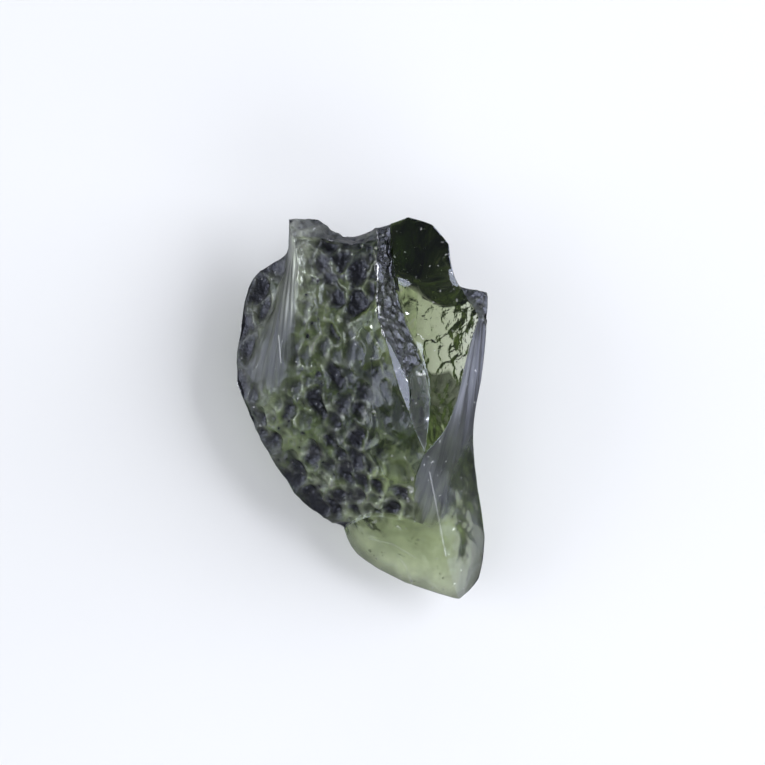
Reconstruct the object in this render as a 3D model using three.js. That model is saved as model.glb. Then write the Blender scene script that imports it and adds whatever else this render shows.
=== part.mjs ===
// A raw moldavite: one lump of green natural glass, lying on a small flat spot.
// Millimetres, +Z up. X runs across the stone, +Y towards its horn, and the flat spot is at z = 0.
//
// The form is a coarse cage of hand-placed points. Loop subdivision rounds it, while the edges that
// are broken sharp stay ridges. The belly is worn flat where it rests. The skin then gets its etched
// pits, the silky flanks their flutes, and the fractures their ripples.

import * as THREE from "three";

// Driving sizes of the finished stone.
const WIDTH = 14.5; // along X
const LENGTH = 22.0; // along Y
const HEIGHT = 7.8; // along Z, from the flat spot to the crest

const ROUNDS = 3; // subdivision rounds: each splits a triangle in four

// Etched pits: elongated bowls that meet in sharp ridges.
const PIT_WIDTH = 0.95; // spacing across the stone
const PIT_LENGTH = 1.3; // spacing along the stone
const PIT_DEPTH = 0.42; // from the ridges down to the deepest bowls
const WORN_SHARE = 0.35; // of that depth, in the smoother hollow
const HAZE_SHARE = 0.2; // of that depth, on the hazy foot
const PIT_SIZES = 0.45; // how much the bowls differ, in squared spacings
const PIT_SEED = 11;

// The rows of bowls bend to and fro, so that no two bowls are alike.
const BEND = 0.2;
const BEND_LENGTH = 2.7;

// Crumpled break of the underside: small shallow hollows that meet in creases.
const CRUMPLE_SPACING = 0.75;
const CRUMPLE_DEPTH = 0.22;
const CRUMPLE_SEED = 23;

// Flutes of the silky flanks, which fan out from a point.
const FLUTE_ANGLE = 0.08; // radians between two flutes
const FLUTE_DEPTH = 0.03;

// Ripples of the conchoidal fractures, as rings round the point of impact.
const RIPPLE_LENGTH = 1.7;
const RIPPLE_DEPTH = 0.02;

// The relief is shallower close to the thin rim, and it dies out just above the flat spot.
const RIM_RELIEF = 0.35; // share of the full depth on the rim itself
const RIM_REACH = 1.1; // distance from the rim where the depth is full
const FLAT_SPOT_REACH = 0.7; // height above the flat spot where the depth is full

const GLASS = new THREE.MeshStandardMaterial({ color: 0x55603f, roughness: 0.16, metalness: 0 });
GLASS.name = "moldavite_glass";

// Points of the cage, as [x, y, z].
const POINTS = {
  // the rim, clockwise from the horn
  hornLeft: [-4.35, 10.85, 4.4],
  hornRight: [-2.6, 10.85, 4.5],
  notch: [-0.95, 9.45, 5.0],
  crestEnd: [0.85, 10.3, 5.2],
  stripEnd: [1.6, 10.6, 5.0],
  peak: [2.6, 10.95, 4.9],
  crown: [4.15, 10.6, 4.8],
  bump: [5.05, 9.35, 4.6],
  bay: [5.2, 7.85, 4.4],
  elbow: [5.65, 6.95, 4.5],
  shoulder: [7.35, 6.7, 3.9],
  sideHigh: [7.25, 4.7, 4.4],
  sideMid: [6.95, 1.5, 4.7],
  waist: [6.25, -1.05, 5.0],
  sideLow: [6.85, -4.65, 3.8],
  hip: [7.35, -7.2, 2.8],
  tipRight: [6.95, -10.05, 2.2],
  tip: [5.7, -11.05, 2.0],
  foot: [2.5, -10.25, 1.6],
  footLeft: [-0.85, -8.4, 1.7],
  footNotch: [-1.2, -6.95, 2.1],
  lowLeft: [-3.65, -5.8, 2.4],
  leftLow: [-5.8, -2.65, 2.7],
  leftWide: [-7.6, 1.4, 2.7],
  lobe: [-7.25, 8.0, 2.3],
  neck: [-4.45, 8.65, 3.6],

  // the upper edge of the end face, then the main crest
  hornTopLeft: [-4.15, 9.75, 5.4],
  hornTopRight: [-2.15, 9.65, 5.8],
  notchTop: [-0.7, 9.1, 6.0],
  crestTop: [0.9, 9.6, 6.3],
  crestHigh: [0.85, 7.55, 7.1],
  crestMid: [0.7, 5.35, 7.6],
  sliverTop: [1.25, 4.15, 7.8],
  sliverLeft: [1.8, 1.95, 7.8],
  sliverLow: [2.65, -0.3, 7.5],
  sliverRight: [2.85, 1.45, 7.1],
  join: [3.55, -2.5, 7.0],

  // the fold between the silky flank and the pitted face
  foldTop: [-3.55, 7.75, 5.9],
  foldMid: [-4.05, 4.3, 5.7],
  foldLow: [-4.5, 1.1, 5.0],
  silkMid: [-5.7, 4.55, 4.3],
  silkEnd: [-6.3, 0.65, 3.6],

  // the pitted face
  faceHigh: [-1.5, 6.85, 6.5],
  faceMid: [-1.5, 3.4, 6.5],
  faceLow: [-2.1, -0.9, 5.5],
  hollow: [0.5, 0.85, 6.5],
  faceFoot: [0.2, -3.2, 5.5],
  skinLeft: [-4.85, -1.75, 4.2],

  // the narrow strip and the scoop beside it
  stripHigh: [1.7, 8.15, 5.7],
  stripMid: [2.35, 5.1, 5.6],
  stripLow: [3.6, 2.55, 5.6],
  scoopHigh: [3.5, 8.5, 5.0],
  scoopMid: [4.3, 4.9, 5.0],
  scoopLow: [4.05, 0.9, 5.5],

  // the ridge beside the scoop, then the right flank
  ridgeTop: [6.75, 5.15, 5.0],
  ridgeHigh: [6.0, 3.15, 5.3],
  ridgeMid: [5.6, 0.85, 5.8],
  ridgeLow: [4.85, -1.2, 6.4],
  flankHigh: [6.3, 0.55, 5.3],
  flankLow: [5.1, -3.95, 5.5],

  // the chipped edge and the thin wedge at the foot
  chipHigh: [2.75, -4.45, 6.1],
  chipLow: [3.0, -6.45, 4.5],
  wedgeTop: [0.15, -5.8, 4.0],
  wedgeMid: [2.1, -8.25, 3.2],
  heelHigh: [4.55, -6.75, 4.5],
  heelLow: [4.9, -8.75, 3.6],

  // the underside, and the belly that is worn flat
  underHorn: [-3.7, 8.3, 2.6],
  underNotch: [0.2, 7.3, 1.1],
  underPeak: [2.8, 6.8, 0.6],
  underElbow: [5.0, 5.1, 1.5],
  underStrip: [2.7, 2.2, 2.5],
  underScoop: [5.1, 0.5, 3.2],
  underFlank: [4.0, -1.2, 2.3],
  underHeel: [3.9, -6.2, 0.7],
  underFace: [-3.65, -3.35, 1.1],
  underSilk: [-5.2, 3.7, 1.7],
  bellyBackLeft: [-1.9, 3.5, -0.4],
  bellyBackRight: [1.9, 3.6, -0.5],
  bellyFrontRight: [2.7, -1.7, -0.5],
  bellyFrontLeft: [-1.4, -2.9, -0.4],
};

// The surfaces between the points. Each has a finish, the way it faces, and its patches.
const SURFACES = {
  endFace: {
    finish: "frost",
    patches: [
      "hornLeft hornRight hornTopRight hornTopLeft",
      "hornRight notch notchTop hornTopRight",
      "notch crestEnd crestTop notchTop",
    ],
  },
  silkyFlank: {
    finish: "silk",
    patches: [
      "hornLeft hornTopLeft neck",
      "hornTopLeft foldTop neck",
      "neck foldTop silkMid",
      "foldTop foldMid silkMid",
      "silkMid foldMid foldLow silkEnd",
      "silkMid silkEnd leftWide",
    ],
  },
  ledge: {
    finish: "skin",
    patches: ["neck silkMid lobe", "lobe silkMid leftWide"],
  },
  pittedFace: {
    finish: "skin",
    patches: [
      "hornTopLeft hornTopRight faceHigh foldTop",
      "hornTopRight notchTop faceHigh",
      "faceHigh notchTop crestTop crestHigh",
      "faceHigh crestHigh crestMid faceMid",
      "foldTop faceHigh faceMid foldMid",
      "foldMid faceMid faceLow foldLow",
      "faceMid hollow faceFoot faceLow",
      "faceFoot chipHigh chipLow wedgeTop",
      "foldLow faceLow skinLeft",
      "silkEnd foldLow skinLeft",
      "leftWide silkEnd skinLeft leftLow",
      "skinLeft faceLow lowLeft leftLow",
      "faceLow faceFoot wedgeTop",
      "faceLow wedgeTop footNotch lowLeft",
    ],
  },
  hollowFace: {
    finish: "worn",
    patches: [
      "faceMid crestMid sliverTop sliverLeft hollow",
      "hollow sliverLeft sliverLow join chipHigh faceFoot",
    ],
  },
  strip: {
    finish: "slate",
    patches: [
      "crestTop crestEnd stripEnd stripHigh crestHigh",
      "crestHigh stripHigh stripMid crestMid",
      "stripMid stripLow sliverRight sliverTop crestMid",
    ],
  },
  sliver: {
    finish: "glass",
    patches: ["sliverTop sliverRight sliverLow sliverLeft"],
  },
  scoop: {
    finish: "glass",
    patches: [
      "stripEnd peak scoopHigh stripHigh",
      "peak crown scoopHigh",
      "crown bump scoopHigh",
      "bump bay scoopHigh",
      "bay elbow scoopMid scoopHigh",
      "stripHigh scoopHigh scoopMid stripMid",
      "elbow ridgeTop scoopMid",
      "scoopMid ridgeTop ridgeHigh scoopLow",
      "stripMid scoopMid scoopLow stripLow",
      "scoopLow ridgeHigh ridgeMid",
      "scoopLow ridgeMid ridgeLow",
      "scoopLow ridgeLow join",
      "scoopLow join sliverLow",
      "scoopLow sliverLow sliverRight stripLow",
    ],
  },
  knob: {
    finish: "frost",
    patches: ["elbow shoulder sideHigh ridgeTop"],
  },
  rightFlank: {
    finish: "silk",
    patches: [
      "ridgeTop sideHigh flankHigh ridgeHigh",
      "ridgeHigh flankHigh ridgeMid",
      "sideHigh sideMid flankHigh",
      "sideMid waist flankHigh",
      "ridgeMid flankHigh flankLow ridgeLow",
      "ridgeLow flankLow join",
      "flankHigh waist flankLow",
      "join flankLow chipHigh",
      "chipHigh flankLow heelHigh chipLow",
    ],
  },
  heel: {
    finish: "haze",
    patches: [
      "waist sideLow flankLow",
      "flankLow sideLow heelHigh",
      "heelHigh sideLow hip heelLow",
      "heelLow hip tipRight tip",
    ],
  },
  wedge: {
    finish: "haze",
    patches: [
      "footNotch wedgeTop footLeft",
      "wedgeTop wedgeMid footLeft",
      "wedgeTop chipLow wedgeMid",
      "footLeft wedgeMid foot",
      "chipLow heelHigh wedgeMid",
      "heelHigh heelLow wedgeMid",
      "wedgeMid heelLow tip foot",
    ],
  },
  undercut: {
    finish: "film",
    facesDown: true,
    patches: [
      "notch crestEnd underNotch underHorn",
      "crestEnd stripEnd underNotch",
      "stripEnd peak underPeak underNotch",
      "peak crown underPeak",
      "crown bump underPeak",
      "bump bay underPeak",
      "bay elbow underElbow underPeak",
      "elbow shoulder underElbow",
    ],
  },
  underBreak: {
    finish: "crumple",
    facesDown: true,
    patches: [
      "underPeak underElbow underScoop underStrip",
      "shoulder sideHigh underScoop underElbow",
      "sideHigh sideMid underScoop",
    ],
  },
  underShade: {
    finish: "slate",
    facesDown: true,
    patches: [
      "sideMid waist underFlank underScoop",
      "underStrip underScoop underFlank",
      "underStrip underFlank bellyFrontRight bellyBackRight",
    ],
  },
  underFoot: {
    finish: "worn",
    facesDown: true,
    patches: [
      "waist sideLow underFlank",
      "sideLow underHeel underFlank",
      "sideLow hip underHeel",
      "hip tipRight underHeel",
      "tipRight tip underHeel",
      "tip foot underHeel",
      "foot footLeft underHeel",
      "footLeft footNotch underHeel",
      "underFlank underHeel bellyFrontRight",
      "underHeel bellyFrontLeft bellyFrontRight",
    ],
  },
  underSkin: {
    finish: "skin",
    facesDown: true,
    patches: [
      "hornLeft hornRight underHorn",
      "hornRight notch underHorn",
      "footNotch lowLeft underFace underHeel",
      "lowLeft leftLow underFace",
      "leftLow leftWide underSilk underFace",
      "leftWide lobe underSilk",
      "lobe neck underHorn underSilk",
      "neck hornLeft underHorn",
      "underHorn underNotch bellyBackRight bellyBackLeft",
      "underNotch underPeak underStrip bellyBackRight",
      "underHeel underFace bellyFrontLeft",
      "underFace underSilk bellyBackLeft bellyFrontLeft",
      "underSilk underHorn bellyBackLeft",
      "bellyBackLeft bellyBackRight bellyFrontRight bellyFrontLeft",
    ],
  },
};

// Edges that stay ridges, with the number of subdivision rounds that they last.
const RIDGES = [
  { rounds: 3, path: "hornLeft hornRight notch crestEnd stripEnd peak crown bump bay elbow shoulder" },
  { rounds: 3, path: "shoulder sideHigh sideMid waist sideLow hip tipRight tip foot footLeft footNotch" },
  { rounds: 3, path: "footNotch lowLeft leftLow leftWide lobe neck hornLeft" },
  { rounds: 4, path: "hornLeft hornTopLeft hornTopRight notchTop crestTop crestEnd" },
  { rounds: 3, path: "hornTopLeft foldTop foldMid foldLow" },
  { rounds: 3, path: "neck silkMid leftWide" },
  { rounds: 5, path: "crestTop crestHigh crestMid sliverTop sliverLeft sliverLow join" },
  { rounds: 4, path: "join chipHigh chipLow" },
  { rounds: 5, path: "stripEnd stripHigh stripMid stripLow scoopLow join" },
  { rounds: 5, path: "sliverTop sliverRight sliverLow" },
  { rounds: 5, path: "elbow ridgeTop ridgeHigh ridgeMid ridgeLow join" },
  { rounds: 3, path: "ridgeTop sideHigh" },
  { rounds: 4, path: "footNotch wedgeTop chipLow heelHigh" },
  { rounds: 4, path: "heelHigh heelLow tip" },
  { rounds: 4, path: "underNotch underPeak underElbow shoulder" },
];

// Points of the rim that stay corners.
const CORNERS = ["hornLeft", "hornRight", "peak", "bump", "elbow", "tip", "footNotch"];

// Where the flutes of each flank fan out from, and the points of impact of the fractures, in X and Y.
const FAN_CENTRES = [
  { x: -4.0, y: 10.3 },
  { x: 7.2, y: 7.6 },
];
const IMPACT = { x: 3.4, y: 10.4 };

const pointNames = Object.keys(POINTS);
const surfaceNames = Object.keys(SURFACES);

function edgeKey(a, b) {
  return a < b ? `${a} ${b}` : `${b} ${a}`;
}

// The cage as points and triangles, each triangle with its surface and facing out.
function makeCage() {
  const points = pointNames.map((name) => new THREE.Vector3(...POINTS[name]));
  const triangles = [];
  for (const surface of surfaceNames) {
    const { facesDown, patches } = SURFACES[surface];
    for (const patch of patches) {
      const corners = patch.split(" ").map((name) => pointNames.indexOf(name));
      const ring = corners.map((i) => new THREE.Vector2(points[i].x, points[i].y));
      const clockwise = THREE.ShapeUtils.area(ring) < 0;
      if (clockwise !== Boolean(facesDown)) corners.reverse();
      for (let i = 1; i < corners.length - 1; i++) {
        triangles.push({ corners: [corners[0], corners[i], corners[i + 1]], surface });
      }
    }
  }
  const ridges = new Map();
  for (const { rounds, path } of RIDGES) {
    const stops = path.split(" ").map((name) => pointNames.indexOf(name));
    for (let i = 1; i < stops.length; i++) ridges.set(edgeKey(stops[i - 1], stops[i]), rounds);
  }
  return { points, triangles, ridges };
}

// One round of Loop subdivision. A ridge edge is halved as it is, and loses one of its rounds.
function subdivide({ points, triangles, ridges }) {
  const edges = new Map();
  for (const { corners } of triangles) {
    for (let i = 0; i < 3; i++) {
      const a = corners[i];
      const b = corners[(i + 1) % 3];
      const opposite = corners[(i + 2) % 3];
      const key = edgeKey(a, b);
      if (!edges.has(key)) edges.set(key, { a, b, opposite: [], index: points.length + edges.size });
      edges.get(key).opposite.push(opposite);
    }
  }

  const neighbours = points.map(() => []);
  const ridgeNeighbours = points.map(() => []);
  const middles = [];
  const finerRidges = new Map();
  for (const [key, { a, b, opposite, index }] of edges) {
    neighbours[a].push(b);
    neighbours[b].push(a);
    const middle = points[a].clone().add(points[b]);
    if (ridges.has(key)) {
      ridgeNeighbours[a].push(b);
      ridgeNeighbours[b].push(a);
      middle.multiplyScalar(1 / 2);
      if (ridges.get(key) > 1) {
        finerRidges.set(edgeKey(a, index), ridges.get(key) - 1);
        finerRidges.set(edgeKey(b, index), ridges.get(key) - 1);
      }
    } else {
      middle.multiplyScalar(3 / 8);
      for (const i of opposite) middle.addScaledVector(points[i], 1 / 8);
    }
    middles.push(middle);
  }

  const corners = new Set(CORNERS.map((name) => pointNames.indexOf(name)));
  const moved = points.map((point, i) => {
    const ridgeCount = ridgeNeighbours[i].length;
    if (ridgeCount > 2 || (ridgeCount === 2 && corners.has(i))) return point.clone();
    if (ridgeCount === 2) {
      const [a, b] = ridgeNeighbours[i].map((n) => points[n]);
      return point.clone().multiplyScalar(3 / 4).addScaledVector(a, 1 / 8).addScaledVector(b, 1 / 8);
    }
    const count = neighbours[i].length;
    const share = (5 / 8 - (3 / 8 + Math.cos((2 * Math.PI) / count) / 4) ** 2) / count;
    const result = point.clone().multiplyScalar(1 - count * share);
    for (const n of neighbours[i]) result.addScaledVector(points[n], share);
    return result;
  });

  const finer = [];
  for (const { corners: [a, b, c], surface } of triangles) {
    const ab = edges.get(edgeKey(a, b)).index;
    const bc = edges.get(edgeKey(b, c)).index;
    const ca = edges.get(edgeKey(c, a)).index;
    for (const part of [[a, ab, ca], [ab, b, bc], [ca, bc, c], [ab, bc, ca]]) {
      finer.push({ corners: part, surface });
    }
  }
  return { points: [...moved, ...middles], triangles: finer, ridges: finerRidges };
}

// A repeatable number from 0 to 1 for one cell of a grid.
function cellNumber(i, j, k, seed) {
  let hash = Math.imul(i, 374761393) ^ Math.imul(j, 668265263) ^ Math.imul(k, 1440670441);
  hash = Math.imul(hash ^ Math.imul(seed, 1274126177), 2246822519);
  hash = Math.imul(hash ^ (hash >>> 15), 3266489917);
  return ((hash ^ (hash >>> 13)) >>> 0) / 2 ** 32;
}

// Bowls round scattered centres, from -1 at the deepest to 0 on the ridges between.
function bowlHeight(point, width, length, seed) {
  const turn = (2 * Math.PI) / BEND_LENGTH;
  const x = (point.x + BEND * Math.sin(turn * (point.y + point.z))) / width;
  const y = (point.y + BEND * Math.sin(turn * (point.x - point.z))) / length;
  const z = point.z / width;
  const [i0, j0, k0] = [x, y, z].map(Math.floor);
  let lowest = Infinity;
  for (let i = i0 - 1; i <= i0 + 1; i++) {
    for (let j = j0 - 1; j <= j0 + 1; j++) {
      for (let k = k0 - 1; k <= k0 + 1; k++) {
        const dx = i + cellNumber(i, j, k, seed) - x;
        const dy = j + cellNumber(i, j, k, seed + 1) - y;
        const dz = k + cellNumber(i, j, k, seed + 2) - z;
        const size = PIT_SIZES * cellNumber(i, j, k, seed + 3);
        lowest = Math.min(lowest, dx * dx + dy * dy + dz * dz - size);
      }
    }
  }
  const ridge = 0.45;
  const bottom = -0.25;
  return (Math.min(Math.max(lowest, bottom), ridge) - ridge) / (ridge - bottom);
}

// The flutes: rounded grooves along the lines that fan out from the nearer centre.
function fluteHeight(point) {
  const { x, y } = point.x < 0 ? FAN_CENTRES[0] : FAN_CENTRES[1];
  const angle = Math.atan2(point.y - y, point.x - x);
  return -Math.abs(Math.sin((Math.PI * angle) / FLUTE_ANGLE));
}

// The ripples: rings that grow round the point of impact.
function rippleHeight(point) {
  const distance = Math.hypot(point.x - IMPACT.x, point.y - IMPACT.y);
  return Math.sin((2 * Math.PI * distance) / RIPPLE_LENGTH);
}

const RELIEF = {
  skin: (point) => PIT_DEPTH * bowlHeight(point, PIT_WIDTH, PIT_LENGTH, PIT_SEED),
  worn: (point) => WORN_SHARE * RELIEF.skin(point),
  crumple: (point) => CRUMPLE_DEPTH * bowlHeight(point, CRUMPLE_SPACING, CRUMPLE_SPACING, CRUMPLE_SEED),
  silk: (point) => FLUTE_DEPTH * fluteHeight(point),
  frost: () => 0,
  film: () => 0,
  haze: (point) => HAZE_SHARE * RELIEF.skin(point),
  slate: (point) => WORN_SHARE * RELIEF.skin(point),
  glass: (point) => RIPPLE_DEPTH * rippleHeight(point),
};

// Wears the belly flat, then moves each point along its normal by the relief of the surfaces that
// meet there.
function addRelief({ points, triangles }) {
  for (const point of points) point.z = Math.max(point.z, 0);
  const normals = points.map(() => new THREE.Vector3());
  const touching = points.map(() => []);
  for (const { corners, surface } of triangles) {
    const [a, b, c] = corners.map((i) => points[i]);
    const areaNormal = b.clone().sub(a).cross(c.clone().sub(a));
    for (const i of corners) {
      normals[i].add(areaNormal);
      touching[i].push(SURFACES[surface]);
    }
  }
  const rim = points.filter((point, i) => {
    const down = touching[i].filter((surface) => surface.facesDown).length;
    return down > 0 && down < touching[i].length;
  });
  return points.map((point, i) => {
    const heights = touching[i].map((surface) => RELIEF[surface.finish](point));
    const height = heights.reduce((sum, value) => sum + value, 0) / heights.length;
    const rimDistance = Math.min(...rim.map((other) => other.distanceTo(point)));
    const nearRim = THREE.MathUtils.smoothstep(rimDistance, 0, RIM_REACH);
    const share = RIM_RELIEF + (1 - RIM_RELIEF) * nearRim;
    const nearFlatSpot = THREE.MathUtils.smoothstep(point.z, 0, FLAT_SPOT_REACH);
    return point.clone().addScaledVector(normals[i].normalize(), height * share * nearFlatSpot);
  });
}

// Centres the points on the flat spot's plane and fits them to the driving sizes.
function fitToSize(points) {
  const box = new THREE.Box3().setFromPoints(points);
  const size = box.getSize(new THREE.Vector3());
  const centre = box.getCenter(new THREE.Vector3());
  for (const point of points) {
    point.x = ((point.x - centre.x) * WIDTH) / size.x;
    point.y = ((point.y - centre.y) * LENGTH) / size.y;
    point.z = ((point.z - box.min.z) * HEIGHT) / size.z;
  }
}

function makeStone() {
  let form = makeCage();
  for (let round = 0; round < ROUNDS; round++) form = subdivide(form);
  const points = addRelief(form);
  fitToSize(points);
  const geometry = new THREE.BufferGeometry().setFromPoints(points);
  geometry.setIndex(form.triangles.flatMap(({ corners }) => corners));
  geometry.computeVertexNormals();
  const stone = new THREE.Mesh(geometry, GLASS);
  stone.name = "moldavite";
  return stone;
}

const group = new THREE.Group();
group.name = "raw_moldavite";
group.add(makeStone());

export default group;
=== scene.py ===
"""The looks of a raw moldavite: one lump of green natural glass on a pale studio floor.

The stone's form is a coarse cage of given points, rounded by Loop subdivision, while the edges
that are broken sharp stay ridges. The skin gets its etched pits, the silky flanks their flutes and the
fractures their ripples. A Geometry Nodes tree then adds small pits and grain. Each point also says how
clear, rough, mirroring or bloomed the glass is there, and one material reads that. Part of that is
painted light: lighter ridges, a painted glow, sheen and highlight on the net of ridges and the streak
below the horn, and painted glints; and painted shade in the pits' bottoms, on the rim and the undercut.
"""

import itertools
import math
from types import SimpleNamespace

import bpy
import numpy as np
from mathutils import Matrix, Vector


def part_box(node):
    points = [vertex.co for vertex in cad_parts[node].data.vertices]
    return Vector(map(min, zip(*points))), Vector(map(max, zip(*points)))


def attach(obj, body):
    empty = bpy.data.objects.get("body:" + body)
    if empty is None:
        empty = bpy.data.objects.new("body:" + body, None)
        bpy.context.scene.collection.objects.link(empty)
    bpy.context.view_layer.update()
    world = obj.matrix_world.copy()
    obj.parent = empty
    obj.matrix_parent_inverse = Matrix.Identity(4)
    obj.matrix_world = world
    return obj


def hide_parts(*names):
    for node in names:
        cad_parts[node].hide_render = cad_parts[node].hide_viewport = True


bl_info = {
    "name": "Raw Moldavite",
    "version": (1, 0, 0),
    "blender": (4, 5, 0),
    "location": "View3D > Sidebar > Moldavite",
    "description": "A raw lump of green natural glass, and a studio stage for it",
    "category": "Add Mesh",
}

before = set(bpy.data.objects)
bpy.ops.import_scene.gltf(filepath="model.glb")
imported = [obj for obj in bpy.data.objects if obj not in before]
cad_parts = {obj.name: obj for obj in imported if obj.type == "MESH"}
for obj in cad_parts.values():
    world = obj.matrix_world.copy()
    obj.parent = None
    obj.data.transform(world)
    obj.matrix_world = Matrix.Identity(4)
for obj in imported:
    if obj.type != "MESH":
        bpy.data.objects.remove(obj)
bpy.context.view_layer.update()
NODE = "moldavite"
MM = 0.001

# Points of the cage, in millimetres. X runs across the stone, Y towards its horn.
POINTS = {
    # the rim, clockwise from the horn
    "hornLeft": (-4.35, 10.85, 4.4),
    "hornRight": (-2.6, 10.85, 4.5),
    "notch": (-0.95, 9.45, 5.0),
    "crestEnd": (0.85, 10.3, 5.2),
    "stripEnd": (1.6, 10.6, 5.0),
    "peak": (2.6, 10.95, 4.9),
    "crown": (4.15, 10.6, 4.8),
    "bump": (5.05, 9.35, 4.6),
    "bay": (5.2, 7.85, 4.4),
    "elbow": (5.65, 6.95, 4.5),
    "shoulder": (7.35, 6.7, 3.9),
    "sideHigh": (7.25, 4.7, 4.4),
    "sideMid": (6.95, 1.5, 4.7),
    "waist": (6.25, -1.05, 5.0),
    "sideLow": (6.85, -4.65, 3.8),
    "hip": (7.35, -7.2, 2.8),
    "tipRight": (6.95, -10.05, 2.2),
    "tip": (5.7, -11.05, 2.0),
    "foot": (2.5, -10.25, 1.6),
    "footLeft": (-0.85, -8.4, 1.7),
    "footNotch": (-1.2, -6.95, 2.1),
    "lowLeft": (-3.65, -5.8, 2.4),
    "leftLow": (-5.8, -2.65, 2.7),
    "leftWide": (-7.6, 1.4, 2.7),
    "lobe": (-7.25, 8.0, 2.3),
    "neck": (-4.45, 8.65, 3.6),

    # the upper edge of the end face, then the main crest
    "hornTopLeft": (-4.15, 9.75, 5.4),
    "hornTopRight": (-2.15, 9.65, 5.8),
    "notchTop": (-0.7, 9.1, 6.0),
    "crestTop": (0.9, 9.6, 6.3),
    "crestHigh": (0.85, 7.55, 7.1),
    "crestMid": (0.7, 5.35, 7.6),
    "sliverTop": (1.25, 4.15, 7.8),
    "sliverLeft": (1.8, 1.95, 7.8),
    "sliverLow": (2.65, -0.3, 7.5),
    "sliverRight": (2.85, 1.45, 7.1),
    "join": (3.55, -2.5, 7.0),

    # the fold between the silky flank and the pitted face
    "foldTop": (-3.55, 7.75, 5.9),
    "foldMid": (-4.05, 4.3, 5.7),
    "foldLow": (-4.5, 1.1, 5.0),
    "silkMid": (-5.7, 4.55, 4.3),
    "silkEnd": (-6.3, 0.65, 3.6),

    # the pitted face
    "faceHigh": (-1.5, 6.85, 6.5),
    "faceMid": (-1.5, 3.4, 6.5),
    "faceLow": (-2.1, -0.9, 5.5),
    "hollow": (0.5, 0.85, 6.5),
    "faceFoot": (0.2, -3.2, 5.5),
    "skinLeft": (-4.85, -1.75, 4.2),

    # the narrow strip and the scoop beside it
    "stripHigh": (1.7, 8.15, 5.7),
    "stripMid": (2.35, 5.1, 5.6),
    "stripLow": (3.6, 2.55, 5.6),
    "scoopHigh": (3.5, 8.5, 5.0),
    "scoopMid": (4.3, 4.9, 5.0),
    "scoopLow": (4.05, 0.9, 5.5),

    # the ridge beside the scoop, then the right flank
    "ridgeTop": (6.75, 5.15, 5.0),
    "ridgeHigh": (6.0, 3.15, 5.3),
    "ridgeMid": (5.6, 0.85, 5.8),
    "ridgeLow": (4.85, -1.2, 6.4),
    "flankHigh": (6.3, 0.55, 5.3),
    "flankLow": (5.1, -3.95, 5.5),

    # the chipped edge and the thin wedge at the foot
    "chipHigh": (2.75, -4.45, 6.1),
    "chipLow": (3.0, -6.45, 4.5),
    "wedgeTop": (0.15, -5.8, 4.0),
    "wedgeMid": (2.1, -8.25, 3.2),
    "heelHigh": (4.55, -6.75, 4.5),
    "heelLow": (4.9, -8.75, 3.6),

    # the underside, and the belly that is worn flat
    "underHorn": (-3.7, 8.3, 2.6),
    "underNotch": (0.2, 7.3, 1.1),
    "underPeak": (2.8, 6.8, 0.6),
    "underElbow": (5.0, 5.1, 1.5),
    "underStrip": (2.7, 2.2, 2.5),
    "underScoop": (5.1, 0.5, 3.2),
    "underFlank": (4.0, -1.2, 2.3),
    "underHeel": (3.9, -6.2, 0.7),
    "underFace": (-3.65, -3.35, 1.1),
    "underSilk": (-5.2, 3.7, 1.7),
    "bellyBackLeft": (-1.9, 3.5, -0.4),
    "bellyBackRight": (1.9, 3.6, -0.5),
    "bellyFrontRight": (2.7, -1.7, -0.5),
    "bellyFrontLeft": (-1.4, -2.9, -0.4),
}

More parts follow.
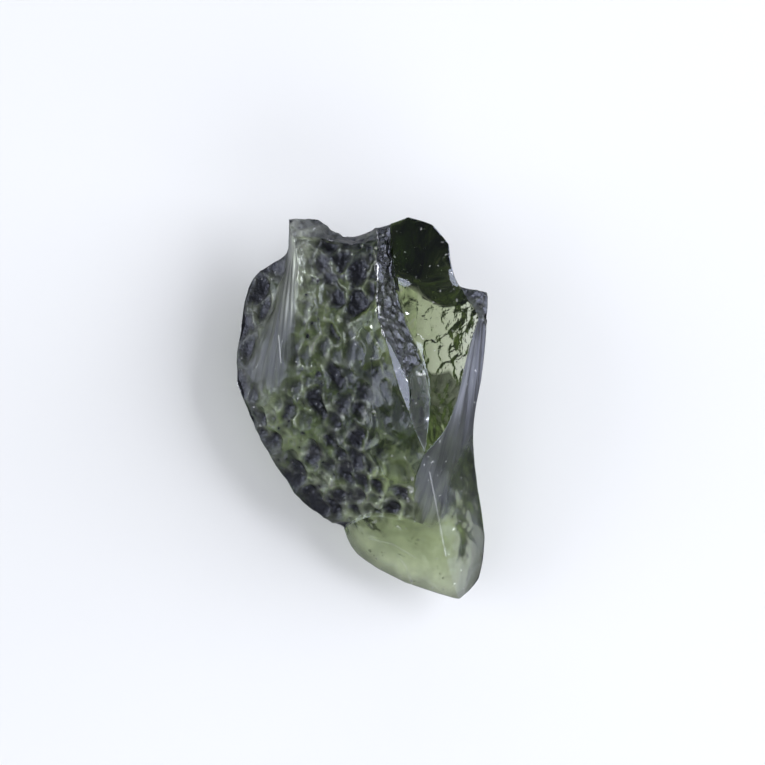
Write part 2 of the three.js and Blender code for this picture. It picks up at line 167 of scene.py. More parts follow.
# The surfaces between the points, each with its finish and its patches: first those that face up, then
# those that face down.
TOP = {
    "endFace": ("frost", [
        "hornLeft hornRight hornTopRight hornTopLeft",
        "hornRight notch notchTop hornTopRight",
        "notch crestEnd crestTop notchTop",
    ]),
    "silkyFlank": ("silk", [
        "hornLeft hornTopLeft neck",
        "hornTopLeft foldTop neck",
        "neck foldTop silkMid",
        "foldTop foldMid silkMid",
        "silkMid foldMid foldLow silkEnd",
        "silkMid silkEnd leftWide",
    ]),
    "ledge": ("skin", ["neck silkMid lobe", "lobe silkMid leftWide"]),
    "pittedFace": ("skin", [
        "hornTopLeft hornTopRight faceHigh foldTop",
        "hornTopRight notchTop faceHigh",
        "faceHigh notchTop crestTop crestHigh",
        "faceHigh crestHigh crestMid faceMid",
        "foldTop faceHigh faceMid foldMid",
        "foldMid faceMid faceLow foldLow",
        "faceMid hollow faceFoot faceLow",
        "faceFoot chipHigh chipLow wedgeTop",
        "foldLow faceLow skinLeft",
        "silkEnd foldLow skinLeft",
        "leftWide silkEnd skinLeft leftLow",
        "skinLeft faceLow lowLeft leftLow",
        "faceLow faceFoot wedgeTop",
        "faceLow wedgeTop footNotch lowLeft",
    ]),
    "hollowFace": ("worn", [
        "faceMid crestMid sliverTop sliverLeft hollow",
        "hollow sliverLeft sliverLow join chipHigh faceFoot",
    ]),
    "strip": ("slate", [
        "crestTop crestEnd stripEnd stripHigh crestHigh",
        "crestHigh stripHigh stripMid crestMid",
        "stripMid stripLow sliverRight sliverTop crestMid",
    ]),
    "sliver": ("glass", ["sliverTop sliverRight sliverLow sliverLeft"]),
    "scoop": ("glass", [
        "stripEnd peak scoopHigh stripHigh",
        "peak crown scoopHigh",
        "crown bump scoopHigh",
        "bump bay scoopHigh",
        "bay elbow scoopMid scoopHigh",
        "stripHigh scoopHigh scoopMid stripMid",
        "elbow ridgeTop scoopMid",
        "scoopMid ridgeTop ridgeHigh scoopLow",
        "stripMid scoopMid scoopLow stripLow",
        "scoopLow ridgeHigh ridgeMid",
        "scoopLow ridgeMid ridgeLow",
        "scoopLow ridgeLow join",
        "scoopLow join sliverLow",
        "scoopLow sliverLow sliverRight stripLow",
    ]),
    "knob": ("frost", ["elbow shoulder sideHigh ridgeTop"]),
    "rightFlank": ("silk", [
        "ridgeTop sideHigh flankHigh ridgeHigh",
        "ridgeHigh flankHigh ridgeMid",
        "sideHigh sideMid flankHigh",
        "sideMid waist flankHigh",
        "ridgeMid flankHigh flankLow ridgeLow",
        "ridgeLow flankLow join",
        "flankHigh waist flankLow",
        "join flankLow chipHigh",
        "chipHigh flankLow heelHigh chipLow",
    ]),
    "heel": ("haze", [
        "waist sideLow flankLow",
        "flankLow sideLow heelHigh",
        "heelHigh sideLow hip heelLow",
        "heelLow hip tipRight tip",
    ]),
    "wedge": ("haze", [
        "footNotch wedgeTop footLeft",
        "wedgeTop wedgeMid footLeft",
        "wedgeTop chipLow wedgeMid",
        "footLeft wedgeMid foot",
        "chipLow heelHigh wedgeMid",
        "heelHigh heelLow wedgeMid",
        "wedgeMid heelLow tip foot",
    ]),
}

UNDERSIDE = {
    # The undercut gets painted shade: its glass is painted almost black.
    "undercut": ("film", [
        "notch crestEnd underNotch underHorn",
        "crestEnd stripEnd underNotch",
        "stripEnd peak underPeak underNotch",
        "peak crown underPeak",
        "crown bump underPeak",
        "bump bay underPeak",
        "bay elbow underElbow underPeak",
        "elbow shoulder underElbow",
    ]),
    "underBreak": ("crumple", [
        "underPeak underElbow underScoop underStrip",
        "shoulder sideHigh underScoop underElbow",
        "sideHigh sideMid underScoop",
    ]),
    # Painted shade under the window, through the dim finish that the strip also has.
    "underShade": ("slate", [
        "sideMid waist underFlank underScoop",
        "underStrip underScoop underFlank",
        "underStrip underFlank bellyFrontRight bellyBackRight",
    ]),
    "underFoot": ("worn", [
        "waist sideLow underFlank",
        "sideLow underHeel underFlank",
        "sideLow hip underHeel",
        "hip tipRight underHeel",
        "tipRight tip underHeel",
        "tip foot underHeel",
        "foot footLeft underHeel",
        "footLeft footNotch underHeel",
        "underFlank underHeel bellyFrontRight",
        "underHeel bellyFrontLeft bellyFrontRight",
    ]),
    "underSkin": ("skin", [
        "hornLeft hornRight underHorn",
        "hornRight notch underHorn",
        "footNotch lowLeft underFace underHeel",
        "lowLeft leftLow underFace",
        "leftLow leftWide underSilk underFace",
        "leftWide lobe underSilk",
        "lobe neck underHorn underSilk",
        "neck hornLeft underHorn",
        "underHorn underNotch bellyBackRight bellyBackLeft",
        "underNotch underPeak underStrip bellyBackRight",
        "underHeel underFace bellyFrontLeft",
        "underFace underSilk bellyBackLeft bellyFrontLeft",
        "underSilk underHorn bellyBackLeft",
        "bellyBackLeft bellyBackRight bellyFrontRight bellyFrontLeft",
    ]),
}

SURFACES = list(TOP.values()) + list(UNDERSIDE.values())

# Edges that stay ridges, with the number of subdivision rounds that they last.
RIDGES = [
    (3, "hornLeft hornRight notch crestEnd stripEnd peak crown bump bay elbow shoulder"),
    (3, "shoulder sideHigh sideMid waist sideLow hip tipRight tip foot footLeft footNotch"),
    (3, "footNotch lowLeft leftLow leftWide lobe neck hornLeft"),
    (4, "hornLeft hornTopLeft hornTopRight notchTop crestTop crestEnd"),
    (3, "hornTopLeft foldTop foldMid foldLow"),
    (3, "neck silkMid leftWide"),
    (5, "crestTop crestHigh crestMid sliverTop sliverLeft sliverLow join"),
    (4, "join chipHigh chipLow"),
    (5, "stripEnd stripHigh stripMid stripLow scoopLow join"),
    (5, "sliverTop sliverRight sliverLow"),
    (5, "elbow ridgeTop ridgeHigh ridgeMid ridgeLow join"),
    (3, "ridgeTop sideHigh"),
    (4, "footNotch wedgeTop chipLow heelHigh"),
    (4, "heelHigh heelLow tip"),
    (4, "underNotch underPeak underElbow shoulder"),
]

# Points of the rim that stay corners.
CORNERS = ("hornLeft", "hornRight", "peak", "bump", "elbow", "tip", "footNotch")

# White crushed chips, each with its place and radius in millimetres.
CHIPS = (
    (0.85, 9.9, 0.12), (1.15, 9.8, 0.1), (0.72, 9.05, 0.14), (0.72, 8.1, 0.13), (0.75, 7.2, 0.12),
    (0.9, 5.55, 0.34), (1.1, 5.1, 0.2), (3.25, 2.0, 0.28), (2.7, -4.5, 0.4), (2.6, -5.1, 0.25),
    (2.85, -3.9, 0.2), (6.9, 5.9, 0.22),
)

# Where the flutes of the left and the right flank fan out from, and the point of impact of the
# fractures, in millimetres.
FAN_CENTRES = ((-4.0, 10.3), (7.2, 7.6))
IMPACT = (3.4, 10.4)

# Fine bright scratches, as stops in millimetres.
SCRATCHES = (
    ((3.85, -3.5), (4.15, -4.9), (4.45, -6.4), (4.85, -8.4)),
    ((2.0, -8.3), (2.5, -9.0), (2.9, -10.1)),
    ((0.3, -7.4), (1.7, -7.7), (3.1, -8.5)),
    ((-4.9, 4.2), (-4.75, 2.6)),
)

# The dull veil that runs down the right of the foot, as stops in millimetres.
VEIL = ((5.9, -4.5), (6.7, -7.5), (6.6, -10.8))

# The streak of painted light that runs down from the horn, as points of the cage.
PAINTED_LIGHT_STREAK = ("hornTopLeft", "foldTop", "foldMid")

# Of each finish: the roughness, how clear it is, and the weight of its grey bloom.
FINISHES = {
    "glass": (0.04, 1.0, 0.0),
    "crumple": (0.04, 1.0, 0.0),
    "haze": (0.18, 0.82, 0.0),
    "frost": (0.3, 0.3, 0.0),
    "silk": (0.34, 0.27, 0.088),
    "skin": (0.3, 0.98, 0.0),
    "worn": (0.22, 0.58, 0.0),
    # a dim finish on the strip, and painted shade under the window
    "slate": (0.2, 0.24, 0.0),
    # painted shade: the undercut's glass is painted almost black and half mirrored
    "film": (0.08, 0.1, 0.0),
}
BLENDS = (("silk", "skin", "worn"), ("silk", "haze"))  # finishes that run into each other
NEARLY_ALL = 0.99  # above this share of its triangles, a point is wholly of the finishes that blend

# The etched bowls. Their distances count in bowls, and their heights run from -1, the deepest, to 0.
PIT_SEED = 11
CRUMPLE_SEED = 23
SMALL_PIT_SEED = 3.0
PIT_RIDGE = 0.45  # level of the ridges: squared distance from the nearest centre, less the bowl's size
PIT_BOTTOM = -0.25  # level of the bottoms, flat in the largest bowls
PIT_SIZES = 0.45  # how much the bowls differ
BEND = 0.2  # how far the rows of bowls bend to and fro, in millimetres
BEND_LENGTH = 2.7  # length of one such bend, in millimetres
PAINTED_RIDGE_LIGHT = 0.5  # painted light: how much lighter a ridge is than the skin's mean
PAINTED_BOTTOM_SHADE = -1.1  # the same for the deepest bottom, which is darker: painted shade
NET_HEIGHTS = (-0.5, -0.1)  # the net of low ridges that gets painted light fades out between these heights

# What the glass reads of each point, apart from the fan of the flutes.
GLASS_ATTRIBUTES = (
    "rough", "clear", "bloom", "painted_sheen_and_shade", "red_kept", "blue_kept", "grainy", "silky", "creased", "streaky",
    "pit_contrast", "small_pits", "cloudy", "chips", "scratches",
)

# Odd numbers with mixed bits, which turn a cell's place and its seed into what looks like chance.
PLACE_MIXERS = (374761393, 668265263, 1440670441)
SEED_MIXER = 1274126177
SCRAMBLES = ((2246822519, 15), (3266489917, 13))

RIM_POINTS_AT_ONCE = 50  # keeps the table of distances small
FLAT_SPOT_EDGE = 0.02  # in millimetres above the flat spot: below it nothing is etched
LEAST_CLEAR = 0.02
LEAST_PAINTED_SHEEN = 0.3  # share of the streak's painted sheen where it leaves the silky flank
CRUSHED_LEVEL = 0.45  # a chip and its grain are white above this level
GLINT_GRAIN = 0.45  # share of the grain in the painted glints, against the creases
NOISE_MEAN = 0.5
MEAN_GAP = 0.55  # mean distance from a small pit's centre, in pits

SOFTBOX_DISTANCE = 0.5  # in metres
VIEW_CENTRE = (1.207, 1.552)  # the place on the stone straight below the camera, in millimetres


# The cage and its subdivision


def make_cage():
    """The cage as points, triangles, the surface of each triangle, the ridge edges and the corners."""
    names = list(POINTS)
    points = np.array([POINTS[name] for name in names], float)
    triangles, surfaces = [], []
    for number, (_, patches) in enumerate(SURFACES):
        faces_down = number >= len(TOP)
        for patch in patches:
            ring = [names.index(name) for name in patch.split()]
            x, y = points[ring, 0], points[ring, 1]
            clockwise = float(np.dot(x, np.roll(y, -1)) - np.dot(y, np.roll(x, -1))) < 0
            if clockwise != faces_down:
                ring.reverse()
            for i in range(1, len(ring) - 1):
                triangles.append((ring[0], ring[i], ring[i + 1]))
                surfaces.append(number)
    ridges = {}
    for rounds, path in RIDGES:
        stops = [names.index(name) for name in path.split()]
        for a, b in zip(stops, stops[1:]):
            ridges[min(a, b), max(a, b)] = rounds
    corners = [names.index(name) for name in CORNERS]
    return points, np.array(triangles), np.array(surfaces), ridges, corners


def subdivide(points, triangles, surfaces, ridges, corners):
    """One round of Loop subdivision, with its usual weights.

    A ridge edge is halved as it is and loses one of its rounds. Corners on a ridge, and points where
    three or more ridges meet, stay where they are.
    """
    count = len(points)
    ends = np.concatenate([triangles[:, [0, 1]], triangles[:, [1, 2]], triangles[:, [2, 0]]])
    ends.sort(axis=1)
    keys, place = np.unique(ends[:, 0] * count + ends[:, 1], return_inverse=True)
    start, end = keys // count, keys % count
    opposite = np.zeros((len(keys), 3))
    np.add.at(opposite, place, points[np.concatenate([triangles[:, 2], triangles[:, 0], triangles[:, 1]])])
    rounds = np.array([ridges.get(pair, 0) for pair in zip(start.tolist(), end.tolist())])
    sharp = rounds > 0
    both = points[start] + points[end]
    middles = np.where(sharp[:, None], both / 2, both * 3 / 8 + opposite / 8)

    def neighbours(chosen):
        number = np.zeros(count)
        total = np.zeros((count, 3))
        for a, b in ((start[chosen], end[chosen]), (end[chosen], start[chosen])):
            np.add.at(number, a, 1)
            np.add.at(total, a, points[b])
        return number, total

    number, total = neighbours(np.ones(len(keys), bool))
    ridge_number, ridge_total = neighbours(sharp)
    share = (5 / 8 - (3 / 8 + np.cos(2 * np.pi / number) / 4) ** 2) / number
    moved = points * (1 - number * share)[:, None] + total * share[:, None]
    on_ridge = ridge_number == 2
    moved[on_ridge] = points[on_ridge] * 3 / 4 + ridge_total[on_ridge] / 8
    still = ridge_number > 2
    still[corners] |= ridge_number[corners] == 2
    moved[still] = points[still]

    old = len(triangles)
    ab, bc, ca = (count + place[i * old:(i + 1) * old] for i in range(3))
    a, b, c = triangles.T
    finer = np.concatenate([np.stack(t, 1) for t in ((a, ab, ca), (ab, b, bc), (ca, bc, c), (ab, bc, ca))])
    finer_ridges = {}
    for i in np.flatnonzero(rounds > 1).tolist():
        for corner in (int(start[i]), int(end[i])):
            finer_ridges[corner, count + i] = int(rounds[i]) - 1
    return np.concatenate([moved, middles]), finer, np.tile(surfaces, 4), finer_ridges, corners


def vertex_normals(points, triangles):
    a, b, c = (points[triangles[:, i]] for i in range(3))
    area_normals = np.cross(b - a, c - a)
    normals = np.zeros_like(points)
    for i in range(3):
        np.add.at(normals, triangles[:, i], area_normals)
    return normals / np.linalg.norm(normals, axis=1, keepdims=True)


# Distances and shares


def smoothstep(values, low, high):
    t = ((values - low) / (high - low)).clip(0, 1)
    return t * t * (3 - 2 * t)


def bell(gap, width):
    """1 where the gap is 0, and almost nothing at twice the width. The width is in metres."""
    return np.exp(-(gap / (width / MM)) ** 2)


def distance_to(points, others):
    """Distance from each point to the nearest of the others."""
    nearest = np.full(len(points), np.inf)
    for some in np.array_split(others, max(1, len(others) // RIM_POINTS_AT_ONCE)):
        gap = np.linalg.norm(points[:, None] - some[None], axis=2).min(1)
        nearest = np.minimum(nearest, gap)
    return nearest


def distance_to_path(points, stops):
    """Distance seen from above, and how far along the path its nearest place is, from 0 to 1."""
    points, stops = points[:, :2], np.array(stops)
    nearest, along = np.full(len(points), np.inf), np.zeros(len(points))
    legs = len(stops) - 1
    for leg in range(legs):
        start, way = stops[leg], stops[leg + 1] - stops[leg]
        t = ((points - start) @ way / (way @ way)).clip(0, 1)
        gap = np.linalg.norm(points - start - t[:, None] * way, axis=1)
        along = np.where(gap < nearest, (leg + t) / legs, along)
        nearest = np.minimum(nearest, gap)
    return nearest, along


def finish_shares(points, triangles, surfaces):
    """For each finish, the share of a point's triangles that have it, and the share that face down."""
    number = np.zeros(len(points))
    np.add.at(number, triangles, 1)

    def share_of(chosen):
        share = np.zeros(len(points))
        np.add.at(share, triangles[np.array(chosen)[surfaces]], 1)
        return share / number

    shares = {name: share_of([finish == name for finish, _ in SURFACES]) for name in FINISHES}
    return shares, share_of([number >= len(TOP) for number in range(len(SURFACES))])


def even_out(values, triangles, where, rounds):
    """Evens the values out over neighbouring points, among the points where that is allowed."""
    inside = triangles[where[triangles].all(1)]
    ends = np.concatenate([inside, np.roll(inside, 1, 1)]).T.ravel()
    others = np.concatenate([np.roll(inside, 1, 1), inside]).T.ravel()
    count = len(values)
    number = 1 + np.bincount(ends, minlength=count)
    for _ in range(rounds):
        values = (values + np.bincount(ends, values[others], count)) / number
    return values


def mix_finishes(settings, points, triangles, shares):
    """Lets the dull finishes run into each other, and lays the silky veil over the foot."""
    for names in BLENDS:
        soft = sum(shares[name] for name in names) > NEARLY_ALL
        for name in names:
            shares[name] = even_out(shares[name], triangles, soft, settings.blend_rounds)
    gap = distance_to_path(points, VEIL)[0]
    veiled = settings.veil * shares["haze"] * bell(gap, settings.veil_width)
    shares["silk"] += veiled
    shares["haze"] -= veiled


# The relief


def cell_numbers(cell, seed):
    """Repeatable numbers from 0 to 1 for cells of a grid."""
    number = np.uint32((seed * SEED_MIXER) % 2**32)
    for place, mixer in zip(cell.T, PLACE_MIXERS):
        number = number ^ place.astype(np.int64).astype(np.uint32) * np.uint32(mixer)
    for mixer, shift in SCRAMBLES:
        number = number * np.uint32(mixer)
        number = number ^ (number >> np.uint32(shift))
    return number / 2**32


def bowl_heights(points, width, length, seed):
    """Bowls round scattered centres, from -1 at the deepest to 0 on the ridges between.

    Also says how far each point is from a ridge, as a difference of squared distances in bowls.
    """
    x, y, z = points.T
    turn = 2 * math.pi / BEND_LENGTH
    bent = np.stack([x + BEND * np.sin(turn * (y + z)), y + BEND * np.sin(turn * (x - z)), z], 1)
    grid = bent / (width, length, width)
    base = np.floor(grid)
    lowest = second = np.full(len(points), np.inf)
    for step in itertools.product((-1, 0, 1), repeat=3):
        cell = base + step
        spots = np.stack([cell_numbers(cell, seed + n) for n in range(3)], 1)
        size = PIT_SIZES * cell_numbers(cell, seed + 3)
        power = ((cell + spots - grid) ** 2).sum(1) - size
        second = np.minimum(second, np.maximum(lowest, power))
        lowest = np.minimum(lowest, power)
    heights = (lowest.clip(PIT_BOTTOM, PIT_RIDGE) - PIT_RIDGE) / (PIT_RIDGE - PIT_BOTTOM)
    return heights, second - lowest


def carve(settings, stone):
    """Moves the stone's points along their normals: pits, folds, flutes and ripples.

    Keeps the pits' heights and their distance from a ridge, and the angle and distance of each point
    from the centre that the flutes of its side fan out from.
    """
    points, shares = stone.points, stone.shares
    away = points[:, :2] - np.where(points[:, :1] < 0, FAN_CENTRES[0], FAN_CENTRES[1])
    angle = np.arctan2(away[:, 1], away[:, 0])
    stone.fan = np.stack([angle, np.hypot(*away.T) * MM, np.zeros_like(angle)], 1)
    stone.pits, stone.from_ridge = bowl_heights(
        points, settings.pit_width / MM, settings.pit_length / MM, PIT_SEED)
    spacing = settings.crumple_spacing / MM
    folds = bowl_heights(points, spacing, spacing, CRUMPLE_SEED)[0]
    flutes = -np.abs(np.sin(math.pi * angle / settings.flute_angle))
    rings = np.hypot(*(points[:, :2] - IMPACT).T) * MM / settings.ripple_length
    height = (
        stone.etched * settings.pit_depth * stone.pits
        + shares["crumple"] * settings.crumple_depth * folds
        + shares["silk"] * settings.flute_depth * flutes
        + shares["glass"] * settings.ripple_depth * np.sin(2 * math.pi * rings)
    ) / MM
    depth = settings.rim_relief + (1 - settings.rim_relief) * stone.inward
    depth *= smoothstep(points[:, 2], 0, settings.flat_spot_reach / MM)
    stone.points = points + vertex_normals(points, stone.triangles) * (height * depth)[:, None]


def shape_stone(settings):
    """The whole stone in millimetres, with what its looks depend on at each point."""
    form = make_cage()
    for _ in range(settings.rounds):
        form = subdivide(*form)
    points, triangles, surfaces = form[:3]
    points[:, 2] = points[:, 2].clip(0)
    shares, down = finish_shares(points, triangles, surfaces)
    mix_finishes(settings, points, triangles, shares)
    stone = SimpleNamespace(points=points, triangles=triangles, shares=shares, down=down)
    stone.from_rim = distance_to(points, points[(down > 0) & (down < 1)])
    stone.inward = smoothstep(stone.from_rim, 0, settings.rim_reach / MM)
    stone.pitted = shares["skin"] + settings.worn_share * (shares["worn"] + shares["slate"])
    stone.etched = stone.pitted + settings.haze_share * shares["haze"]
    stone.frosted = settings.frost_share * (shares["frost"] + shares["slate"])
    carve(settings, stone)
    return stone


# The looks of each point


def clear_and_bloom(settings, stone, net, streak):
    """How much light gets in, and the weight of the grey bloom, each before the noise breaks it up."""
    shares, down, from_rim = stone.shares, stone.down, stone.from_rim
    rough, clear, bloom = sum(share[:, None] * FINISHES[name] for name, share in shares.items()).T
    # Painted light and shade: the ridges are painted lighter and the bowls' bottoms darker.
    light = PAINTED_RIDGE_LIGHT + (PAINTED_RIDGE_LIGHT - PAINTED_BOTTOM_SHADE) * stone.pits
    clear = clear * (1 + stone.pitted * (1 - down) * settings.painted_ridge_glow * light)
    # Painted light: the net of ridges and the streak below the horn are painted clearer, and given a
    # painted grey highlight.
    clear = clear + settings.painted_net_glow * net + settings.foot_glow * down * shares["worn"]
    clear = clear + (1 - clear) * settings.painted_streak_glow * streak
    bloom = bloom + settings.painted_ridge_highlight * net + settings.painted_streak_highlight * streak * (1 - down)
    # Painted shade along the rim: the foot, the skin and the silk are painted darker there.
    painted_foot_rim_shade = shares["haze"] * (1 - smoothstep(from_rim, 0, settings.foot_reach / MM))
    shaded_rim = (shares["silk"] + shares["skin"]) * (1 - smoothstep(from_rim, 0, settings.dark_reach / MM))
    rim = 1 - settings.painted_foot_rim_shade * painted_foot_rim_shade - settings.painted_rim_shade * shaded_rim
    return rough, (clear * rim).clip(LEAST_CLEAR, 1) ** 2, bloom * rim


def stone_looks(settings, stone):
    """The attributes that the glass and the etching read, by name."""
    points, shares, down = stone.points, stone.shares, stone.down
    # The net of low ridges on the skin, which gets painted light: painted clearer, with a painted sheen and
    # a painted grey highlight.
    net = stone.pitted * (1 - down) * (1 - smoothstep(stone.from_ridge, 0, settings.net_width))
    net = net * (1 - smoothstep(stone.pits, *NET_HEIGHTS))
    # The streak below the horn gets painted light: painted clearer, with a painted sheen and a painted grey
    # highlight.
    gap, along = distance_to_path(points, [POINTS[name][:2] for name in PAINTED_LIGHT_STREAK])
    streak = bell(gap, settings.streak_width) * (1 - along ** 2)
    rough, clear, bloom = clear_and_bloom(settings, stone, net, streak)
    # Painted sheen on the streak and the net of ridges, and painted shade on the undercut, all through
    # Metallic.
    painted_sheen_and_shade = settings.painted_streak_sheen * streak * (1 - down) * (LEAST_PAINTED_SHEEN + (1 - LEAST_PAINTED_SHEEN) * shares["silk"])
    painted_sheen_and_shade = painted_sheen_and_shade + settings.painted_ridge_sheen * net + settings.film_dullness * shares["film"]
    olive = sum(shares[name] for name in ("skin", "worn", "haze", "slate")) + streak
    olive = olive.clip(0, 1)
    grainy = shares["skin"] + stone.frosted
    chips = np.zeros(len(points))
    for x, y, radius in CHIPS:
        away = np.hypot(points[:, 0] - x, points[:, 1] - y)
        chips = np.maximum(chips, (1 - down) * smoothstep(-away, -radius, 0))
    scratches = np.min([distance_to_path(points, path)[0] for path in SCRATCHES], 0) + down
    ragged = settings.ragged_rim + settings.frost_share * shares["frost"]
    etching = (stone.etched + stone.frosted) * np.maximum(stone.inward, ragged) + chips
    return {
        "rough": rough,
        "clear": clear,
        "bloom": bloom,
        "painted_sheen_and_shade": painted_sheen_and_shade,
        "red_kept": 1 - settings.red_lost * olive,
        "blue_kept": 1 - settings.blue_lost * olive,
        "grainy": grainy,
        "silky": shares["silk"],
        "creased": settings.crease_depth * shares["crumple"],
        "streaky": settings.streak_contrast * (
            shares["silk"] + settings.haze_streaks * shares["haze"] + settings.skin_streaks * grainy),
        "pit_contrast": settings.painted_small_pit_shade * grainy,
        "cloudy": settings.mottle_contrast * shares["haze"],
        "chips": chips,
        "scratches": scratches,
        "fan": stone.fan,
        "etching": etching * smoothstep(points[:, 2], FLAT_SPOT_EDGE, settings.flat_spot_reach / MM),
    }


def fit_to(points, low, high):
    """Moves and stretches the points so that they fill the box from low to high."""
    least, most = points.min(0), points.max(0)
    return (points - least) / (most - least) * (high - low) + low


# Nodes


def add_node(tree, kind, inputs=None, **settings):
    """Adds a node with its settings, and feeds its inputs from sockets or plain values."""
    node = tree.nodes.new(kind)
    for name, value in settings.items():
        setattr(node, name, value)
    for key, value in (inputs or {}).items():
        if isinstance(value, bpy.types.NodeSocket):
            tree.links.new(value, node.inputs[key])
        else:
            node.inputs[key].default_value = value
    return node


def linear(hex_colour):
    """An sRGB hex value such as 7A8C55 as linear red, green, blue and alpha."""
    channels = [int(hex_colour[i:i + 2], 16) / 255 for i in (0, 2, 4)]
    return [c / 12.92 if c <= 0.04045 else ((c + 0.055) / 1.055) ** 2.4 for c in channels] + [1.0]


def glass_sums(settings):
    """The sums of the glass, as the name of a result, what is done, and the names or numbers it is done to.

    The noises are grain, streaks, creases and mottles. Every other name is an earlier result or an
    attribute of the stone.
    """
    return (
        # the finest relief: grain on the skin, streaks on the silky flanks, creases in the break
        ("relief", "MULTIPLY", "grainy", "grain"),
        ("relief", "MULTIPLY_ADD", "silky", "streaks", "relief"),
        ("relief", "MULTIPLY_ADD", "creased", "creases", "relief"),
        # how much light gets through: less in streaks and in the foot's mottles, and painted shade in small
        # pits
        ("streaked", "MULTIPLY_ADD", "streaky", "streaks", 1.0),
        ("pitted", "MULTIPLY_ADD", "pit_contrast", "small_pits", 1.0),
        ("mottled", "MULTIPLY_ADD", "cloudy", "mottles", 1.0),
        ("green", "MULTIPLY", "clear", "streaked"),
        ("green", "MULTIPLY", "green", "pitted"),
        ("green", "MULTIPLY", "green", "mottled"),
        ("red", "MULTIPLY", "green", "red_kept"),
        ("blue", "MULTIPLY", "green", "blue_kept"),
        # white crushed glass in jagged chips, and painted glints where the noise is high
        ("jags", "MULTIPLY_ADD", "creases", settings.chip_jags, 1.0),
        ("crushed", "MULTIPLY_ADD", "chips", "jags", "grain"),
        ("crushed", "GREATER_THAN", "crushed", CRUSHED_LEVEL),
        ("painted_glints", "MULTIPLY_ADD", "grain", GLINT_GRAIN, "creases"),
        ("painted_glints", "GREATER_THAN", "painted_glints", settings.glint_level),
        ("crushed", "MAXIMUM", "crushed", "painted_glints"),
        ("white", "MULTIPLY", "crushed", settings.chip_whiteness),
        # what mirrors light back before it gets in: painted sheen on the streak and the ridges, painted
        # shade on the undercut, and the white chips and painted glints
        ("milk", "MULTIPLY", "painted_sheen_and_shade", "streaked"),
        ("milk", "MAXIMUM", "milk", "white"),
        # the grey bloom, brightest on crushed glass, painted glints and scratches
        ("scratched", "LESS_THAN", "scratches", settings.scratch_width / MM / 2),
        ("scratched", "MULTIPLY", "scratched", settings.scratch_bloom),
        ("bloom", "MULTIPLY", "bloom", "streaked"),
        ("bloom", "MAXIMUM", "bloom", "crushed"),
        ("bloom", "MAXIMUM", "bloom", "scratched"),
    )


def glass_material(settings):
    """Natural glass, etched by the soil and broken.

    It gives bottle green where the stone is thick and pale olive where it is thin, a dull dark satin on
    the etched skin, a grey bloom on the silky flanks, and a wet gloss on the breaks. Its colour, mirror
    and bloom also carry painted light: lighter ridges and darker pit bottoms, a painted glow, sheen and
    highlight on the net of ridges and the streak below the horn, painted glints, painted shade on the rim
    and the undercut, and a bluish painted tint on every reflection.
    """
    material = bpy.data.materials.new("moldavite natural glass")
    material.use_nodes = True
    tree = material.node_tree
    tree.nodes.clear()
    at = {}
    for name in GLASS_ATTRIBUTES:
        at[name] = add_node(tree, "ShaderNodeAttribute", attribute_name=name).outputs["Fac"]
    fan = add_node(tree, "ShaderNodeAttribute", attribute_name="fan").outputs["Vector"]
    place = add_node(tree, "ShaderNodeTexCoord").outputs["Object"]
    streak_place = add_node(tree, "ShaderNodeVectorMath", {
        0: fan,
        1: (1 / settings.streak_angle, 1 / settings.streak_length, 1),
    }, operation="MULTIPLY").outputs[0]
    for name, vector, scale, detail in (
        ("grain", place, 1 / settings.fine_grain, 2.0),
        ("streaks", streak_place, 1.0, 3.0),
        ("creases", place, 1 / settings.crease_spacing, 2.0),
        ("mottles", place, 1 / settings.mottle_size, 3.0),
    ):
        noise = add_node(tree, "ShaderNodeTexNoise", {"Vector": vector, "Scale": scale, "Detail": detail})
        from_mean = {0: noise.outputs["Fac"], 1: NOISE_MEAN}
        at[name] = add_node(tree, "ShaderNodeMath", from_mean, operation="SUBTRACT").outputs[0]
    for name, operation, *terms in glass_sums(settings):
        inputs = {i: at.get(term, term) for i, term in enumerate(terms)}
        at[name] = add_node(tree, "ShaderNodeMath", inputs, operation=operation).outputs[0]

    colour = add_node(tree, "ShaderNodeCombineColor", {0: at["red"], 1: at["green"], 2: at["blue"]})
    bump = add_node(tree, "ShaderNodeBump", {
        "Height": at["relief"],
        "Strength": 1.0,
        "Distance": settings.fine_depth,
    })
    shader = add_node(tree, "ShaderNodeBsdfPrincipled", {
        "Base Color": colour.outputs[0],
        # painted sheen and shade, with the white of the chips and the painted glints
        "Metallic": at["milk"],
        "Roughness": at["rough"],
        "IOR": settings.ior,
        "Transmission Weight": 1.0,
        "Specular IOR Level": settings.sheen,
        # the bluish tint is painted light, standing in for the cool light
        "Specular Tint": linear(settings.painted_cool_sheen),
        "Coat Weight": at["bloom"],
        "Coat Roughness": settings.bloom_roughness,
        "Coat IOR": settings.bloom_ior,
        "Normal": bump.outputs[0],
    })
    volume = add_node(tree, "ShaderNodeVolumeAbsorption", {
        "Color": linear(settings.glass_colour),
        "Density": settings.absorption,
    })
    add_node(tree, "ShaderNodeOutputMaterial", {"Surface": shader.outputs[0], "Volume": volume.outputs[0]})
    return material


def floor_material(settings):
    """Matt white board, which gives a plain pale ground and a soft shadow."""
    material = bpy.data.materials.new("matt white board")
    material.use_nodes = True
    tree = material.node_tree
    tree.nodes.clear()
    shader = add_node(tree, "ShaderNodeBsdfDiffuse", {"Color": linear(settings.floor_colour)})
    add_node(tree, "ShaderNodeOutputMaterial", {"Surface": shader.outputs[0]})
    return material


